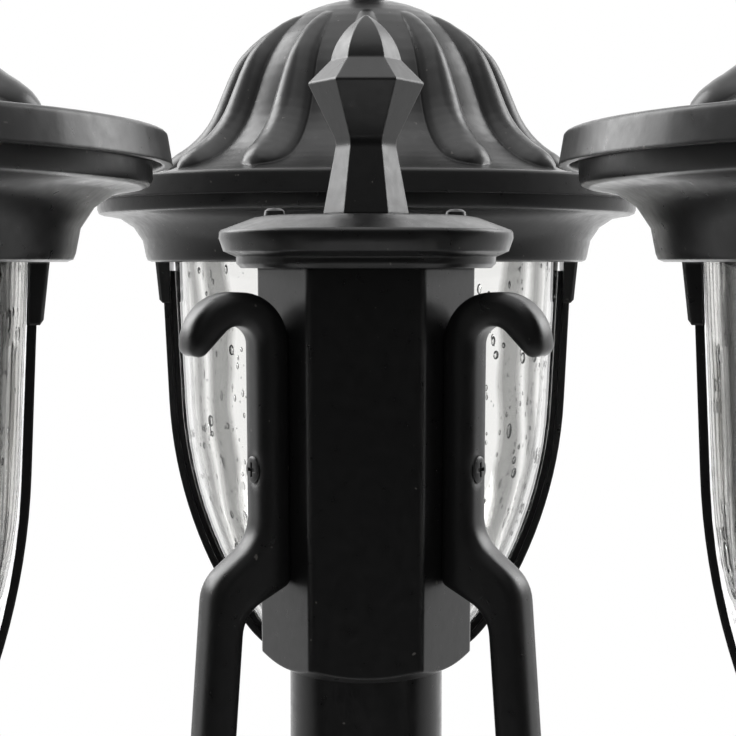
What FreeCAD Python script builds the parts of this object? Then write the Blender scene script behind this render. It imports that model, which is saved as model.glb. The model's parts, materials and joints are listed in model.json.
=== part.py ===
"""Triple head lamp post: a round pole on a bell base, a hexagonal hub, three hooked arms and three
round lanterns with lobed roofs and seeded glass bowls. Millimetres, +Z up, origin on the pole's axis
at ground level. Lengths are real sizes. A lantern is drawn about its own axis, with z = 0 at the
underside of its body, and then set at the end of its arm."""

import FreeCAD, Part
import math
import os

V = FreeCAD.Vector
ORIGIN = V(0, 0, 0)
UP = V(0, 0, 1)

# Whole post
HEADS = {"left": 210.0, "right": 330.0, "back": 90.0}  # azimuth of each arm and lantern, degrees
REACH = 206.0  # pole axis to lantern axis
HUB_TOP = 2066.0  # height of the hub's top face
BODY_RISE = 2.0  # underside of a lantern body above the hub's top face

# Fits
SLIP = 0.05  # radial clearance of a tube in its socket
PLAY = 0.3  # gap between pieces that move or rest loosely
THREAD = 0.1  # radial clearance drawn at a screw thread
FLAT = 0.5  # how far the cones of a turned piece may stray from its round profile

# Base
BASE_RADIUS = 125.0
BASE_HEIGHT = 220.0
FLANGE_THICKNESS = 10.0
BASE_WALL = 6.0
BELL_RADIUS = 84.0
BELL_FOOT = 34.0
BELL_THROAT = 49.0
NECK_RADIUS = 39.0
BOLT_CIRCLE = 210.0
BOLT_HOLE = 6.5
BOLT_COUNT = 4
POLE_SEAT_Z = 120.0
SEAT_LEDGE = 6.0
FLANGE_EDGE = 3.0
BELL_STEP = 4.0
BELL_FOOT_CURVE = 12.0
BELL_CURVE = 90.0
NECK_CURVE = 60.0
NECK_LENGTH = 26.0
BEAD = 4.0
BEAD_HEIGHT = 12.0
BEAD_EDGE = 2.0
BASE_SCREW_DROP = 40.0

# Poles and the collar that joins them
LOWER_POLE_RADIUS = 30.0
UPPER_POLE_RADIUS = 25.4
POLE_WALL = 2.0
COLLAR_Z = 1000.0
COLLAR_SOCKET = 42.0
COLLAR_WEB = 6.0
COLLAR_WALL = 6.0
COLLAR_BEAD = 4.0
COLLAR_EDGE = 2.0
COLLAR_SHOULDER = 8.0
SET_SCREW_RADIUS = 3.0
SET_SCREW_STANDOFF = 1.0
SET_SCREW_COUNT = 3

# Hub
HUB_LENGTH = 127.6
HUB_FLATS_TOP = 62.9
HUB_FLATS_FOOT = 61.1
HUB_EDGE = 3.0
HUB_CHAMFER_SLOPE = 0.54
HUB_MOUTH = 26.6
HUB_CAVITY = 23.5
POLE_TOP_DROP = 72.0

# Hub cap, its screws and its finial
CAP_RADIUS = 48.9
CAP_TOP = 17.0
CAP_BEVEL_RUN = 13.5
CAP_BEVEL_DROP = 4.8
CAP_ROLL = 5.6
CAP_STEP_RADIUS = 42.8
CAP_STEP = 3.7
CAP_SPIGOT = 8.0
CAP_SCREW_OUT = 30.3
CAP_SCREW_TURN = 10.0
CAP_SCREW_RADIUS = 2.0
CAP_SCREW_HEAD = 3.6
CAP_SCREW_HEAD_HEIGHT = 2.6
CAP_SCREW_LENGTH = 30.0
FINIAL_FOOT = 12.35
FINIAL_NECK = 8.4
FINIAL_WAIST = 16.55
FINIAL_RING = 10.0
FINIAL_NECK_Z = 24.2
FINIAL_WAIST_Z = 43.4
FINIAL_RING_Z = 50.9
FINIAL_HEIGHT = 65.6
FINIAL_BULGE = 1.9
STUD_RADIUS = 3.0
STUD_GRIP = 14.0
STUD_NUT = 5.5
STUD_NUT_HEIGHT = 5.0

# Arms
ARM_THICKNESS = 12.0
ARM_DEPTH = 10.7
ARM_EDGE = 2.2
HOOK_DROP = 7.5
HOOK_RADIUS = 17.0
CREST = 1.0
HOOK_TIP_RADIUS = 3.3
HOOK_TIP_ANGLE = 45.0
BEND_DROP = 86.3
BEND_ANGLE = 52.0
BEND_RADIUS = 14.0
SPINE_LEAN = 4.3
SPINE_WIDTH = 12.0
SPINE_OFFSET = 21.4
SPINE_KNEE = 105.0
HEEL_DROP = 101.5
HEEL_ANGLE = 63.0
HEEL_RADIUS = 12.0
HEEL_EDGE = 3.0
SWEEP_FLAT = 1.0
SWEEP_RISE = 2.0
PAD_RADIUS = 14.0
PAD_HEIGHT = 12.0
ARM_SCREW_DROP = 64.4
ARM_SCREW_RADIUS = 2.4
ARM_SCREW_HEAD = 4.8
ARM_SCREW_HEAD_DEPTH = 2.8
ARM_SCREW_LENGTH = 20.0

# Lantern glass: the outside of the bowl, down its side and across its bottom
GLASS_WALL = 4.0
GLASS_TOP = 8.0
GLASS_TOP_RADIUS = 86.8
GLASS_TAPER = 5.6
GLASS_SIDE_Z = -110.5
GLASS_SIDE_CURVE = 192.0
GLASS_HEEL = 41.7
GLASS_FLOOR_Z = -180.0
GLASS_FLOOR_CURVE = 44.0
GLASS_HOLE = 7.0

# Cage of four ribs round the glass
RIB_COUNT = 4
RIB_GAP = 0.5
RIB_DEPTH = 5.5
RIB_FLANGE_DEPTH = 3.0
RIB_WIDTH = 9.0
RIB_WEB_WIDTH = 5.0
RIB_TOP = -4.0
CAGE_DISC_RADIUS = 26.0
CAGE_DISC = 6.0
WASHER_THICKNESS = 2.0
WASHER_RADIUS = 13.0

# Cup under the cage, stem and lampholder
CUP_HEIGHT = 18.0
CUP_TOP_RADIUS = 22.0
CUP_FOOT_RADIUS = 13.0
STEM_RADIUS = 5.0
STEM_BORE = 3.5
STEM_GRIP = 10.0
NUT_RADIUS = 9.0
NUT_HEIGHT = 5.0
HOLDER_RADIUS = 17.0
HOLDER_HEIGHT = 45.0
HOLDER_FLOOR = 19.0
STEM_IN_HOLDER = 12.0

# Bulb
BULB_CAP_RADIUS = 13.1
BULB_CAP_LENGTH = 26.0
BULB_RADIUS = 30.0
BULB_LENGTH = 108.0
BULB_NECK = 14.0

# Lantern body: a ring with a cove that opens upwards to a lip
BODY_GAP = 0.7
BODY_RING = 11.7
BODY_COVE = 18.1
LIP_REACH = 3.2
LIP_TOP = 31.0
LIP_EDGE = 2.4
BODY_WALL = 3.5
BODY_FLOOR = 4.0
SOCKET_LENGTH = 18.5
SOCKET_WALL = 2.4
SOCKET_TAPER = 1.8
SOCKET_TOP_CHEEK = 4.0
SOCKET_FOOT_CHEEK = 2.0
SOCKET_EDGE = 1.5
GASKET_WIDTH = 4.5
GASKET_HEIGHT = 4.5

# Strap and rod that hold the roof
STRAP_WIDTH = 16.0
STRAP_THICKNESS = 2.0
ROD_RADIUS = 2.5
ROD_HEAD = 5.0
ROD_HEAD_HEIGHT = 4.0

# Roof: a drip rim, a bell-shaped dome and twelve raised lobes
RIM_OVERHANG = 5.8
RIM_FOOT_Z = 26.5
RIM_TOP_Z = 35.6
RIM_FLARE = 1.6
RIM_WALL = 3.0
DOME_FOOT_RADIUS = 73.4
DOME_FOOT_Z = 39.5
DOME_FOOT_CURVE = 46.0
DOME_SHOULDER_RADIUS = 44.4
DOME_SHOULDER_Z = 111.8
DOME_SHOULDER_CURVE = 60.0
CROWN_RADIUS = 9.0
CROWN_Z = 117.2
ROOF_WALL = 3.0
ROOF_HOLE = 3.2
LOBE_COUNT = 12
LOBE_FLATS = 6
LOBE_ROOT = 1.0
# Along the dome from its crown: (distance, width, height) of a lobe's cross-sections
LOBE_SECTIONS = (
    (27.0, 1.5, 0.2),
    (33.0, 8.0, 2.9),
    (58.0, 15.0, 4.0),
    (92.0, 21.0, 4.8),
    (104.0, 18.0, 4.4),
    (109.0, 6.0, 0.8),
)

# Knob on the roof
KNOB_COLLAR_RADIUS = 8.5
KNOB_COLLAR = 4.0
KNOB_NECK_RADIUS = 5.0
KNOB_NECK_Z = 7.5
KNOB_BALL_RADIUS = 9.5
KNOB_HEIGHT = 28.0
KNOB_BORE_DEPTH = 12.0

# Worked out from the above
GLASS_SIDE_RADIUS = GLASS_TOP_RADIUS - GLASS_TAPER
GLASS_FLOOR_RADIUS = GLASS_SIDE_RADIUS - GLASS_HEEL
BODY_INNER = GLASS_TOP_RADIUS + BODY_GAP
BODY_RADIUS = BODY_INNER + BODY_RING
LIP_RADIUS = BODY_RADIUS + BODY_COVE + LIP_REACH
RIM_RADIUS = LIP_RADIUS + RIM_OVERHANG
SOCKET_RADIUS = GLASS_TOP_RADIUS + RIB_GAP + RIB_DEPTH + SOCKET_WALL
BODY_Z = HUB_TOP + BODY_RISE
CAGE_TOP_Z = GLASS_FLOOR_Z - WASHER_THICKNESS
CAGE_FOOT_Z = CAGE_TOP_Z - CAGE_DISC
PAD_Z = CAGE_FOOT_Z - CUP_HEIGHT
HOLDER_Z = GLASS_FLOOR_Z + GLASS_WALL + NUT_HEIGHT
BULB_Z = HOLDER_Z + HOLDER_FLOOR + PLAY
COVE_CENTRE_RADIUS = BODY_RADIUS + BODY_COVE
COVE_CENTRE_Z = LIP_EDGE
STRAP_Z = COVE_CENTRE_Z + BODY_COVE + BODY_WALL
ROOF_SEAT_Z = LIP_TOP + PLAY
KNOB_Z = CROWN_Z + PLAY
ROD_TOP_Z = KNOB_Z + KNOB_BORE_DEPTH - 1.0


def deg(angle):
    return math.radians(angle)


def meet(p, p_lean, q, q_lean):
    """Where a line through p meets a line through q; a lean is from straight down, in degrees."""
    px, pz = math.sin(deg(p_lean)), -math.cos(deg(p_lean))
    qx, qz = math.sin(deg(q_lean)), -math.cos(deg(q_lean))
    cross = px * qz - pz * qx
    run = ((q[0] - p[0]) * qz - (q[1] - p[1]) * qx) / cross
    return (p[0] + run * px, p[1] + run * pz)


def unit(a, b):
    length = math.hypot(b[0] - a[0], b[1] - a[1])
    return ((b[0] - a[0]) / length, (b[1] - a[1]) / length)


def edges(corners, closed=True):
    """Straight runs joined by tangent arcs in the XZ plane, through (x, z) or (x, z, radius) corners."""
    count = len(corners)
    stops = []
    for i, corner in enumerate(corners):
        inside = closed or 0 < i < count - 1
        radius = corner[2] if len(corner) > 2 and inside else 0.0
        here = V(corner[0], 0, corner[1])
        if radius <= 0:
            stops.append((here, None, here))
            continue
        a = unit(corner, corners[i - 1])
        b = unit(corner, corners[(i + 1) % count])
        half = math.acos(max(-1.0, min(1.0, a[0] * b[0] + a[1] * b[1]))) / 2
        reach = radius / math.tan(half)
        mid = (a[0] + b[0], a[1] + b[1])
        size = math.hypot(*mid)
        depth = radius / math.sin(half) - radius
        first = here + V(a[0], 0, a[1]) * reach
        last = here + V(b[0], 0, b[1]) * reach
        middle = here + V(mid[0], 0, mid[1]) * (depth / size)
        stops.append((first, middle, last))
    out = []
    for i, (first, middle, last) in enumerate(stops):
        if middle is not None:
            out.append(Part.Arc(first, middle, last).toShape())
        if i == count - 1 and not closed:
            break
        following = stops[(i + 1) % count][0]
        if (following - last).Length > 1e-6:
            out.append(Part.LineSegment(last, following).toShape())
    return out


def beside(corners, distance):
    """An open run of corners moved to its right by a distance, arcs kept concentric."""
    moved = []
    for i, corner in enumerate(corners):
        before = unit(corners[i - 1], corner) if i else unit(corner, corners[1])
        after = unit(corner, corners[i + 1]) if i < len(corners) - 1 else before
        share = 1 + before[0] * after[0] + before[1] * after[1]
        x = corner[0] + distance * (before[1] + after[1]) / share
        z = corner[1] - distance * (before[0] + after[0]) / share
        turn = before[0] * after[1] - before[1] * after[0]
        radius = corner[2] if len(corner) > 2 else 0.0
        moved.append((x, z, radius + distance * math.copysign(1, turn) if radius else 0.0))
    return moved


def face(outline):
    return Part.Face(Part.Wire(Part.__sortEdges__(outline)))


def flats(outline):
    """The outline with each arc drawn as straight runs that stay within FLAT of it."""
    out = []
    for e in outline:
        steps = 1
        if isinstance(e.Curve, Part.Circle):
            half = e.Length / e.Curve.Radius / 2
            steps = math.ceil(half / math.acos(1 - min(1.0, FLAT / e.Curve.Radius)))
        points = e.discretize(steps + 1)
        out += [Part.LineSegment(a, b).toShape() for a, b in zip(points, points[1:])]
    return out


def turned(corners):
    """A solid of revolution about Z from a closed outline of corners, its roundings as cones."""
    return face(flats(edges(corners))).revolve(ORIGIN, UP, 360)


def slab(corners, thickness):
    """A flat piece in the XZ plane, centred on it."""
    return face(edges(corners)).extrude(V(0, thickness, 0)).translated(V(0, -thickness / 2, 0))


def rod(radius, length, z=0.0, x=0.0, y=0.0):
    return Part.makeCylinder(radius, length, V(x, y, z))


def spin(shape, angle):
    return shape.rotated(ORIGIN, UP, angle)


def six_sided(outline, reach):
    """A six-sided solid about Z whose flats all follow one outline, given as edges in the XZ plane."""
    prism = face(outline).extrude(V(0, reach, 0)).translated(V(0, -reach / 2, 0))
    across = spin(prism, 90)
    return across.common(spin(across, 60)).common(spin(across, 120))


def hexagon(radius, height, z):
    corners = [V(radius * math.cos(deg(a)), radius * math.sin(deg(a)), z) for a in range(0, 361, 60)]
    return Part.Face(Part.makePolygon(corners)).extrude(V(0, 0, height))


def export(name, shape):
    if not shape.isValid():
        print("NOT VALID", name)
    shape.exportStep("parts/" + name + ".step")
    print(name, len(shape.Solids), "solid(s)", round(shape.Volume / 1000.0, 2), "cm3")


def base_casting():
    seat_radius = LOWER_POLE_RADIUS + SLIP
    way = LOWER_POLE_RADIUS - SEAT_LEDGE
    bead_foot = BASE_HEIGHT - BEAD_HEIGHT
    outline = [
        (BASE_RADIUS, 0),
        (BASE_RADIUS, FLANGE_THICKNESS, FLANGE_EDGE),
        (BELL_RADIUS + BELL_STEP, FLANGE_THICKNESS, BEAD_EDGE),
        (BELL_RADIUS, BELL_FOOT, BELL_FOOT_CURVE),
        (BELL_THROAT, POLE_SEAT_Z, BELL_CURVE),
        (NECK_RADIUS, BASE_HEIGHT - NECK_LENGTH, NECK_CURVE),
        (NECK_RADIUS, bead_foot),
        (NECK_RADIUS + BEAD, bead_foot, BEAD_EDGE),
        (NECK_RADIUS + BEAD, BASE_HEIGHT, BEAD_EDGE),
        (seat_radius, BASE_HEIGHT),
        (seat_radius, POLE_SEAT_Z),
        (way, POLE_SEAT_Z),
        (way, POLE_SEAT_Z - SEAT_LEDGE),
        (BELL_THROAT - BASE_WALL, POLE_SEAT_Z - SEAT_LEDGE, SEAT_LEDGE),
        (BELL_RADIUS - BASE_WALL, BELL_FOOT, BELL_FOOT_CURVE),
        (BELL_RADIUS - BASE_WALL, 0),
    ]
    body = turned(outline)
    for i in range(BOLT_COUNT):
        hole = rod(BOLT_HOLE, FLANGE_THICKNESS * 3, -FLANGE_THICKNESS, BOLT_CIRCLE / 2)
        body = body.cut(spin(hole, 45 + 360 / BOLT_COUNT * i))
    for screw in base_screws():
        body = body.cut(screw)
    return body


def set_screws(z, inner, outer, first_angle):
    """Screws that point at the axis, from a pole's skin to just outside its socket."""
    length = outer + SET_SCREW_STANDOFF - inner
    screw = Part.makeCylinder(SET_SCREW_RADIUS, length, V(inner, 0, z), V(1, 0, 0))
    return [spin(screw, first_angle + 360 / SET_SCREW_COUNT * i) for i in range(SET_SCREW_COUNT)]


def base_screws():
    return set_screws(BASE_HEIGHT - BASE_SCREW_DROP, LOWER_POLE_RADIUS, NECK_RADIUS, 30)


def collar_screws():
    outer = LOWER_POLE_RADIUS + COLLAR_WALL
    low = set_screws(COLLAR_Z - COLLAR_SOCKET / 2, LOWER_POLE_RADIUS, outer, 30)
    top_outer = UPPER_POLE_RADIUS + COLLAR_WALL
    upper_z = COLLAR_Z + COLLAR_WEB + COLLAR_SOCKET / 2
    return low + set_screws(upper_z, UPPER_POLE_RADIUS, top_outer, 90)


def collar():
    outer = LOWER_POLE_RADIUS + COLLAR_WALL
    top_outer = UPPER_POLE_RADIUS + COLLAR_WALL
    shoulder = COLLAR_Z + COLLAR_WEB
    outline = [
        (LOWER_POLE_RADIUS + SLIP, COLLAR_Z - COLLAR_SOCKET),
        (outer, COLLAR_Z - COLLAR_SOCKET, COLLAR_EDGE),
        (outer, COLLAR_Z - COLLAR_WEB),
        (outer + COLLAR_BEAD, COLLAR_Z - COLLAR_WEB, COLLAR_BEAD * 0.9),
        (outer + COLLAR_BEAD, shoulder, COLLAR_BEAD * 0.9),
        (outer, shoulder, COLLAR_EDGE / 2),
        (top_outer, shoulder + COLLAR_SHOULDER, COLLAR_SHOULDER / 2),
        (top_outer, shoulder + COLLAR_SOCKET, COLLAR_EDGE),
        (UPPER_POLE_RADIUS + SLIP, shoulder + COLLAR_SOCKET),
        (UPPER_POLE_RADIUS + SLIP, shoulder),
        (UPPER_POLE_RADIUS - SEAT_LEDGE, shoulder),
        (UPPER_POLE_RADIUS - SEAT_LEDGE, COLLAR_Z),
        (LOWER_POLE_RADIUS + SLIP, COLLAR_Z),
    ]
    body = turned(outline)
    for screw in collar_screws():
        body = body.cut(screw)
    return body


def tube(radius, wall, low, high):
    return rod(radius, high - low, low).cut(rod(radius - wall, high - low, low))


def hub_flat(drop):
    """Distance of the hub's flat faces from the axis, at a drop below its top."""
    share = drop / HUB_LENGTH
    return (HUB_FLATS_TOP + (HUB_FLATS_FOOT - HUB_FLATS_TOP) * share) / 2


def hub_corner(drop):
    return hub_flat(drop) / math.cos(deg(30))


def hub_body():
    corner = hub_corner(HUB_LENGTH)
    foot = HUB_LENGTH + (corner - HUB_MOUTH) * HUB_CHAMFER_SLOPE
    low, high = hub_flat(foot), hub_flat(0)
    top, bottom = HUB_TOP, HUB_TOP - foot
    body = six_sided(edges([(low, bottom), (high, top), (-high, top), (-low, bottom)]), 4 * corner)
    uprights = [e for e in body.Edges if e.BoundBox.ZLength > HUB_LENGTH / 2]
    body = body.makeFillet(HUB_EDGE, uprights)
    wide = 2 * corner
    rise = (wide - corner) * HUB_CHAMFER_SLOPE
    cone = turned(
        [
            (0, HUB_TOP),
            (wide, HUB_TOP),
            (wide, HUB_TOP - HUB_LENGTH + rise),
            (HUB_MOUTH, HUB_TOP - foot),
            (0, HUB_TOP - foot),
        ]
    )
    body = body.common(cone)
    body = body.cut(rod(UPPER_POLE_RADIUS + SLIP, foot - POLE_TOP_DROP + 1, HUB_TOP - foot - 1))
    body = body.cut(rod(HUB_CAVITY, POLE_TOP_DROP + 1, HUB_TOP - POLE_TOP_DROP))
    for screw in cap_pair(rod(CAP_SCREW_RADIUS, CAP_SCREW_LENGTH, HUB_TOP - CAP_SCREW_LENGTH + CAP_TOP)):
        body = body.cut(screw)
    for screw in arm_screws():
        body = body.cut(screw)
    return body


def cap_pair(piece):
    """A piece drawn on the axis, set at both screws of the hub cap."""
    out = piece.translated(V(CAP_SCREW_OUT, 0, 0))
    return [spin(out, CAP_SCREW_TURN), spin(out, CAP_SCREW_TURN + 180)]


def hub_cap():
    top = HUB_TOP + CAP_TOP
    outline = [
        (0, top),
        (CAP_RADIUS - CAP_BEVEL_RUN, top, 10),
        (CAP_RADIUS - 0.6, top - CAP_BEVEL_DROP, 0.8),
        (CAP_RADIUS, HUB_TOP + CAP_STEP, CAP_ROLL),
        (CAP_STEP_RADIUS, HUB_TOP + CAP_STEP),
        (CAP_STEP_RADIUS, HUB_TOP, 1.5),
        (HUB_CAVITY - PLAY, HUB_TOP),
        (HUB_CAVITY - PLAY, HUB_TOP - CAP_SPIGOT),
        (0, HUB_TOP - CAP_SPIGOT),
    ]
    body = turned(outline)
    for hole in cap_pair(rod(CAP_SCREW_RADIUS + THREAD, 2 * CAP_TOP, HUB_TOP - 1)):
        body = body.cut(hole)
    return body.cut(rod(STUD_RADIUS, 2 * CAP_TOP + CAP_SPIGOT, HUB_TOP - CAP_SPIGOT - 1))


def cap_screws():
    z = HUB_TOP + CAP_TOP
    head = turned(
        [
            (0, z),
            (CAP_SCREW_HEAD, z),
            (CAP_SCREW_HEAD, z + CAP_SCREW_HEAD_HEIGHT, CAP_SCREW_HEAD_HEIGHT * 0.6),
            (0, z + CAP_SCREW_HEAD_HEIGHT),
        ]
    )
    shank = rod(CAP_SCREW_RADIUS, CAP_SCREW_LENGTH, z - CAP_SCREW_LENGTH)
    return cap_pair(head.fuse(shank).removeSplitter())


def finial():
    foot = HUB_TOP + CAP_TOP
    ring = (FINIAL_RING, foot + FINIAL_RING_Z)
    tip = (0.3, foot + FINIAL_HEIGHT)
    chord = unit(ring, tip)
    middle = (
        (ring[0] + tip[0]) / 2 + chord[1] * FINIAL_BULGE,
        (ring[1] + tip[1]) / 2 - chord[0] * FINIAL_BULGE,
    )
    stem = edges(
        [
            (0, foot),
            (FINIAL_FOOT, foot, 0.8),
            (FINIAL_NECK, foot + FINIAL_NECK_Z, 7),
            (FINIAL_WAIST, foot + FINIAL_WAIST_Z, 0.8),
            ring,
        ],
        closed=False,
    )
    side = [(p[0], 0, p[1]) for p in (ring, middle, tip)]
    stem.append(Part.Arc(*[V(*p) for p in side]).toShape())
    stem.append(Part.LineSegment(V(*side[2]), V(0, 0, tip[1])).toShape())
    left = [e.mirror(ORIGIN, V(1, 0, 0)) for e in stem]
    body = six_sided(stem + left, 4 * FINIAL_WAIST)
    return body.cut(rod(STUD_RADIUS, STUD_GRIP, foot))


def finial_stud():
    low = HUB_TOP - CAP_SPIGOT - STUD_NUT_HEIGHT
    high = HUB_TOP + CAP_TOP + STUD_GRIP
    nut = hexagon(STUD_NUT, STUD_NUT_HEIGHT, low)
    return nut.fuse(rod(STUD_RADIUS, high - low, low)).removeSplitter()


def arm_outline():
    """The arm seen from its flat side: x is the distance from the pole's axis, z the height. Two equal
    bends with a short flat between them take the spine round to the lantern's pad."""
    back_top = hub_flat(HOOK_DROP)
    hook_top = HUB_TOP - HOOK_DROP
    tip_x = back_top + 2 * HOOK_RADIUS
    eye = HOOK_RADIUS - ARM_DEPTH
    eye_top = hook_top - ARM_DEPTH
    front = back_top + ARM_DEPTH
    half_turn = (math.pi / 2 - deg(HOOK_TIP_ANGLE)) / 2
    eye_out = front + eye * (1 + math.tan(half_turn)) + CREST / 3
    tip_low = eye_top - (tip_x - eye_out) / math.tan(deg(HOOK_TIP_ANGLE))
    front_low = hub_flat(BEND_DROP) + ARM_DEPTH
    bend = (front_low, HUB_TOP - BEND_DROP)
    back_low = hub_flat(HEEL_DROP)
    heel = (back_low, HUB_TOP - HEEL_DROP)
    knee = (hub_flat(0) + SPINE_OFFSET, HUB_TOP - SPINE_KNEE)
    pad_foot = BODY_Z + PAD_Z - PAD_HEIGHT / 2
    lean = math.tan(deg(SPINE_LEAN))
    turn = math.tan(math.pi / 4 - deg(SPINE_LEAN) / 2)
    spine_low = knee[0] + (knee[1] - pad_foot + SWEEP_RISE) * lean
    radius = (REACH - SWEEP_FLAT - spine_low) / (1 + turn + lean)
    sweep_z = pad_foot - SWEEP_RISE - radius
    line = [
        knee,
        (spine_low + radius * lean, sweep_z, radius),
        (REACH, sweep_z, radius),
        (REACH, pad_foot),
    ]
    outside = beside(line, SPINE_WIDTH / 2)
    inside = beside(line, -SPINE_WIDTH / 2)
    shoulder = meet(bend, BEND_ANGLE, inside[0], SPINE_LEAN)
    hollow = meet(heel, HEEL_ANGLE, outside[0], SPINE_LEAN)
    return [
        (*heel, HEEL_EDGE),
        (back_top, hook_top, HOOK_RADIUS - CREST / 2),
        (tip_x, hook_top, HOOK_RADIUS - CREST / 2),
        (tip_x, tip_low, HOOK_TIP_RADIUS),
        (eye_out, eye_top, eye),
        (front, eye_top, eye),
        (*bend, BEND_RADIUS),
        (*shoulder, BEND_RADIUS),
        *inside[1:],
        *reversed(outside[1:]),
        (*hollow, HEEL_RADIUS),
    ]


def arm_screw_x():
    return hub_flat(ARM_SCREW_DROP) + ARM_DEPTH


def arm_screw(clearance=0.0):
    """A countersunk screw, flush with the arm's outer edge, pointing at the axis."""
    x = arm_screw_x()
    head_foot = x - ARM_SCREW_HEAD_DEPTH
    outline = [
        (0, x),
        (ARM_SCREW_HEAD + clearance, x),
        (ARM_SCREW_RADIUS + clearance, head_foot),
        (ARM_SCREW_RADIUS + clearance, x - ARM_SCREW_LENGTH),
        (0, x - ARM_SCREW_LENGTH),
    ]
    return turned(outline).rotated(ORIGIN, V(0, 1, 0), 90).translated(V(0, 0, HUB_TOP - ARM_SCREW_DROP))


def arm_screws():
    return [spin(arm_screw(), azimuth) for azimuth in HEADS.values()]


def arm():
    body = slab(arm_outline(), ARM_THICKNESS)
    side = ARM_THICKNESS / 2
    rims = [e for e in body.Edges if e.BoundBox.YLength < 1e-6 and abs(abs(e.BoundBox.YMin) - side) < 1e-6]
    body = body.makeFillet(ARM_EDGE, rims)
    pad_z = BODY_Z + PAD_Z
    pad = turned(
        [
            (0, pad_z),
            (PAD_RADIUS, pad_z, 1),
            (PAD_RADIUS, pad_z - PAD_HEIGHT / 2, 2),
            (SPINE_WIDTH / 2, pad_z - PAD_HEIGHT),
            (0, pad_z - PAD_HEIGHT),
        ]
    )
    body = body.fuse(pad.translated(V(REACH, 0, 0)))
    body = body.cut(rod(STEM_RADIUS, STEM_GRIP + 1, pad_z - STEM_GRIP, REACH))
    return body.cut(arm_screw()).removeSplitter()


def bowl_line():
    """The outside of the glass, from its rim down to the hole in its floor."""
    return [
        (GLASS_TOP_RADIUS, GLASS_TOP),
        (GLASS_SIDE_RADIUS, GLASS_SIDE_Z, GLASS_SIDE_CURVE),
        (GLASS_FLOOR_RADIUS, GLASS_FLOOR_Z, GLASS_FLOOR_CURVE),
        (GLASS_HOLE, GLASS_FLOOR_Z),
    ]


def band(line, near, far):
    """A closed outline between two curves, near and far outside an open line that runs downwards."""
    return beside(line, -near) + list(reversed(beside(line, -far)))


def glass():
    return turned(band(bowl_line(), -GLASS_WALL, 0))


def rib(clearance=0.0):
    """One T-shaped rib along the bowl, in the XZ plane."""
    line = [(c[0], *c[1:]) for c in bowl_line()]
    line[0] = line_at(line, RIB_TOP)
    far = RIB_GAP + RIB_DEPTH
    step = far - RIB_FLANGE_DEPTH
    flange = slab(band(line, step - clearance, far + clearance), RIB_WIDTH + 2 * clearance)
    web = slab(band(line, RIB_GAP, step + 0.5), RIB_WEB_WIDTH + 2 * clearance)
    return flange.fuse(web).removeSplitter()


def line_at(line, z):
    """The point of the bowl's straight upper side at a height."""
    (x0, z0), (x1, z1) = line[0][:2], line[1][:2]
    return (x0 + (x1 - x0) * (z - z0) / (z1 - z0), z)


def cage():
    ribs = [spin(rib(), 360 / RIB_COUNT * i) for i in range(RIB_COUNT)]
    disc = turned(
        [
            (STEM_RADIUS + THREAD, CAGE_TOP_Z),
            (CAGE_DISC_RADIUS, CAGE_TOP_Z, 1),
            (CAGE_DISC_RADIUS, CAGE_FOOT_Z, 3),
            (STEM_RADIUS + THREAD, CAGE_FOOT_Z),
        ]
    )
    keep = tube(2 * LIP_RADIUS, 2 * LIP_RADIUS - STEM_RADIUS - THREAD, CAGE_FOOT_Z, RIB_TOP + 1)
    whole = disc.multiFuse(ribs).common(keep)
    room = rod(WASHER_RADIUS + PLAY, WASHER_THICKNESS + RIB_DEPTH, CAGE_TOP_Z)
    return whole.cut(room).removeSplitter()


def glass_washer():
    return tube(WASHER_RADIUS, WASHER_RADIUS - STEM_RADIUS - THREAD, CAGE_TOP_Z, GLASS_FLOOR_Z)


def cup():
    high = CAGE_FOOT_Z
    low = high - CUP_HEIGHT
    return turned(
        [
            (STEM_RADIUS + THREAD, high),
            (CUP_TOP_RADIUS, high, 1.5),
            (CUP_TOP_RADIUS - 1, high - 5, 1.5),
            (CUP_FOOT_RADIUS - 2, high - 9, 5),
            (CUP_FOOT_RADIUS, low + 3, 2),
            (CUP_FOOT_RADIUS, low, 1),
            (STEM_RADIUS + THREAD, low),
        ]
    )


def stem():
    return tube(STEM_RADIUS, STEM_RADIUS - STEM_BORE, PAD_Z - STEM_GRIP, HOLDER_Z + STEM_IN_HOLDER)


def stem_nut():
    z = GLASS_FLOOR_Z + GLASS_WALL
    return hexagon(NUT_RADIUS, NUT_HEIGHT, z).cut(rod(STEM_RADIUS, NUT_HEIGHT, z))


def lampholder():
    top = HOLDER_Z + HOLDER_HEIGHT
    floor = HOLDER_Z + HOLDER_FLOOR
    body = turned(
        [
            (0, HOLDER_Z),
            (HOLDER_RADIUS - 4, HOLDER_Z, 2),
            (HOLDER_RADIUS - 2, HOLDER_Z + 14, 3),
            (HOLDER_RADIUS, HOLDER_Z + 18, 3),
            (HOLDER_RADIUS, top, 1.5),
            (BULB_CAP_RADIUS + PLAY, top),
            (BULB_CAP_RADIUS + PLAY, floor),
            (0, floor),
        ]
    )
    return body.cut(rod(STEM_RADIUS, STEM_IN_HOLDER, HOLDER_Z))


def bulb_cap():
    top = BULB_Z + BULB_CAP_LENGTH
    return turned(
        [
            (0, BULB_Z),
            (4.5, BULB_Z),
            (6.5, BULB_Z + 3.5),
            (BULB_CAP_RADIUS, BULB_Z + 6, 1),
            (BULB_CAP_RADIUS, top),
            (0, top),
        ]
    )


def bulb_globe():
    foot = BULB_Z + BULB_CAP_LENGTH
    top = BULB_Z + BULB_LENGTH
    widest = top - BULB_RADIUS
    return turned(
        [
            (0, foot),
            (BULB_NECK, foot),
            (BULB_NECK, foot + 12, 30),
            (BULB_RADIUS, widest - 10, 26),
            (BULB_RADIUS, top, BULB_RADIUS - 0.1),
            (0, top),
        ]
    )


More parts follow.
